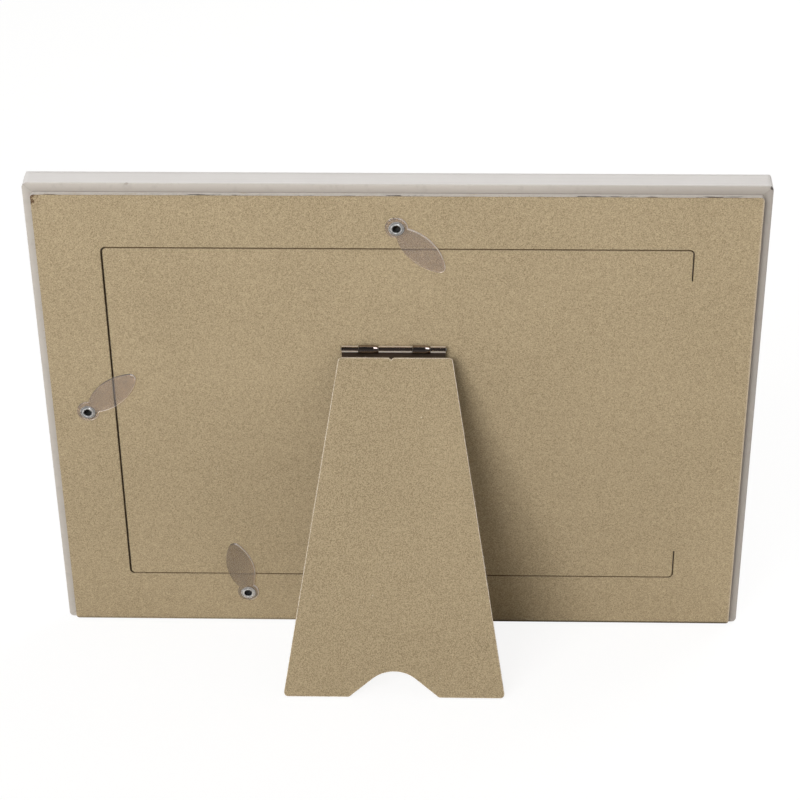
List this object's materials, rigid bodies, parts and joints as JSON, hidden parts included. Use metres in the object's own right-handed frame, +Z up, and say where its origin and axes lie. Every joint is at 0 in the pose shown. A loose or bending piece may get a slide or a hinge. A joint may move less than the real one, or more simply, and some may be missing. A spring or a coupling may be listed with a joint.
{
  "type": "easel back photo frame",
  "caption": "Landscape photo frame with a mitred moulding, a velour covered back with a cut-out door, clear turn buttons and a hinged easel leg that folds flat.",
  "frame": {"origin": "on the surface that the frame stands on, under the middle of the standing object's box", "axes": "+X along the frame's width, to the left as seen from behind; +Y from the picture side to the leg side; +Z up"},
  "size_m": [0.227, 0.0738, 0.1663],
  "materials": {
    "moulding": "satin paint over wood",
    "board": "raw fibreboard",
    "velour": "short matt nap",
    "pane": "clear",
    "paper": "plain coated paper",
    "card": "grey board",
    "plated_steel": "bright nickel plate",
    "bare_steel": "plain steel",
    "clear_plastic": "clear, faintly pink"
  },
  "bodies": {
    "frame": {"bottom_rail": "moulding", "top_rail": "moulding", "right_rail": "moulding", "left_rail": "moulding", "corner_nails": "bare_steel", "glass": "pane", "plain_print": "paper", "filler_card": "card", "surround_board": "board", "door_board": "board", "back_velour": "velour", "eyelet_top": "plated_steel", "eyelet_side": "plated_steel", "eyelet_bottom": "plated_steel", "hinge_door_plate": "plated_steel", "hinge_pin": "bare_steel", "door_plate_rivets": "bare_steel"},
    "leg": {"leg_board": "board", "leg_velour": "velour", "hinge_leg_plate": "plated_steel", "leg_plate_rivets": "bare_steel"},
    "button_top": {"turn_button_top": "clear_plastic"},
    "button_side": {"turn_button_side": "clear_plastic"},
    "button_bottom": {"turn_button_bottom": "clear_plastic"}
  },
  "joints": [
    {"name": "leg_fold", "type": "hinge", "parent": "frame", "child": "leg", "pos_m": [0.0013, 0.0109, 0.10812], "axis": [1, 0, 0], "range_deg": [-30, 0]},
    {"name": "turn_top", "type": "hinge", "parent": "frame", "child": "button_top", "pos_m": [0, 0.0236, 0.15041], "axis": [0, 0.9543, -0.2989], "continuous": true},
    {"name": "turn_side", "type": "hinge", "parent": "frame", "child": "button_side", "pos_m": [0.09965, 0.00272, 0.08375], "axis": [0, 0.9543, -0.2989], "continuous": true},
    {"name": "turn_bottom", "type": "hinge", "parent": "frame", "child": "button_bottom", "pos_m": [0.0515, -0.01968, 0.01222], "axis": [0, 0.9543, -0.2989], "range_deg": [-55, 80]}
  ]
}
